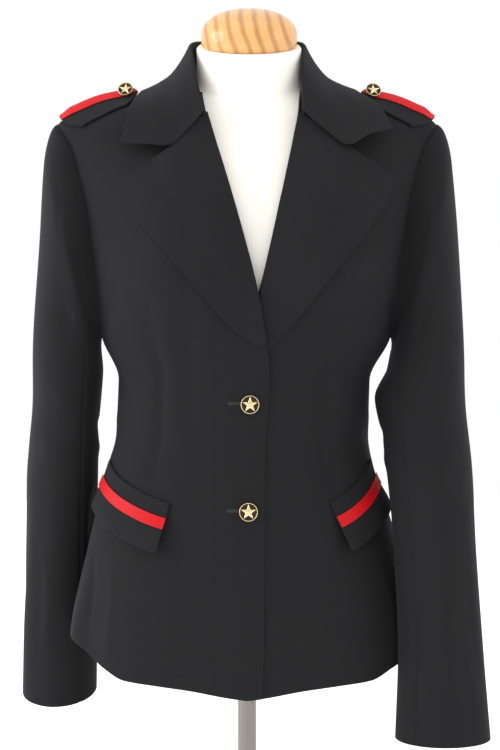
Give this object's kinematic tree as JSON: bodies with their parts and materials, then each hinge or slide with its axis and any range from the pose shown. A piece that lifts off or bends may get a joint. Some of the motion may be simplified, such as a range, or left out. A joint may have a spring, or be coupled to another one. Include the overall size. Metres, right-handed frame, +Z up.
{
  "type": "blazer on dress form",
  "caption": "Fitted women's blazer with peaked collar and lapels, ribbon-trimmed shoulder straps and pocket flaps, worn by a limbless dress form on a round-footed stand.",
  "frame": {"origin": "on the floor, at the middle of the stand's round foot, under the pole", "axes": "+Z up the pole; the blazer's front faces -Y and the wearer's left side is at +X"},
  "size_m": [0.48, 0.3, 0.8945],
  "materials": {
    "charcoal_crepe": "matte fine crepe weave",
    "red_ribbon": "satin ribbon",
    "pale_gold": "polished pale gold plating with darkened recesses",
    "cream_jersey": "fine cotton jersey cover",
    "varnished_pine": "clear gloss varnish",
    "polished_steel": "polished"
  },
  "bodies": {
    "root": {"front_right": "charcoal_crepe", "front_left": "charcoal_crepe", "back_right": "charcoal_crepe", "back_left": "charcoal_crepe", "sleeve_top_right": "charcoal_crepe", "sleeve_under_right": "charcoal_crepe", "sleeve_top_left": "charcoal_crepe", "sleeve_under_left": "charcoal_crepe", "lapel_right": "charcoal_crepe", "lapel_left": "charcoal_crepe", "collar": "charcoal_crepe", "pocket_flap_right": "charcoal_crepe", "pocket_welt_right": "charcoal_crepe", "pocket_flap_left": "charcoal_crepe", "pocket_welt_left": "charcoal_crepe", "strap_right": "charcoal_crepe", "strap_left": "charcoal_crepe", "flap_ribbon_right": "red_ribbon", "flap_ribbon_left": "red_ribbon", "strap_ribbon_right": "red_ribbon", "strap_ribbon_left": "red_ribbon", "button_upper": "pale_gold", "button_lower": "pale_gold", "strap_button_right": "pale_gold", "strap_button_left": "pale_gold", "form_torso": "cream_jersey", "neck_cap": "varnished_pine", "stand_base": "polished_steel", "stand_pole": "polished_steel"}
  },
  "joints": []
}
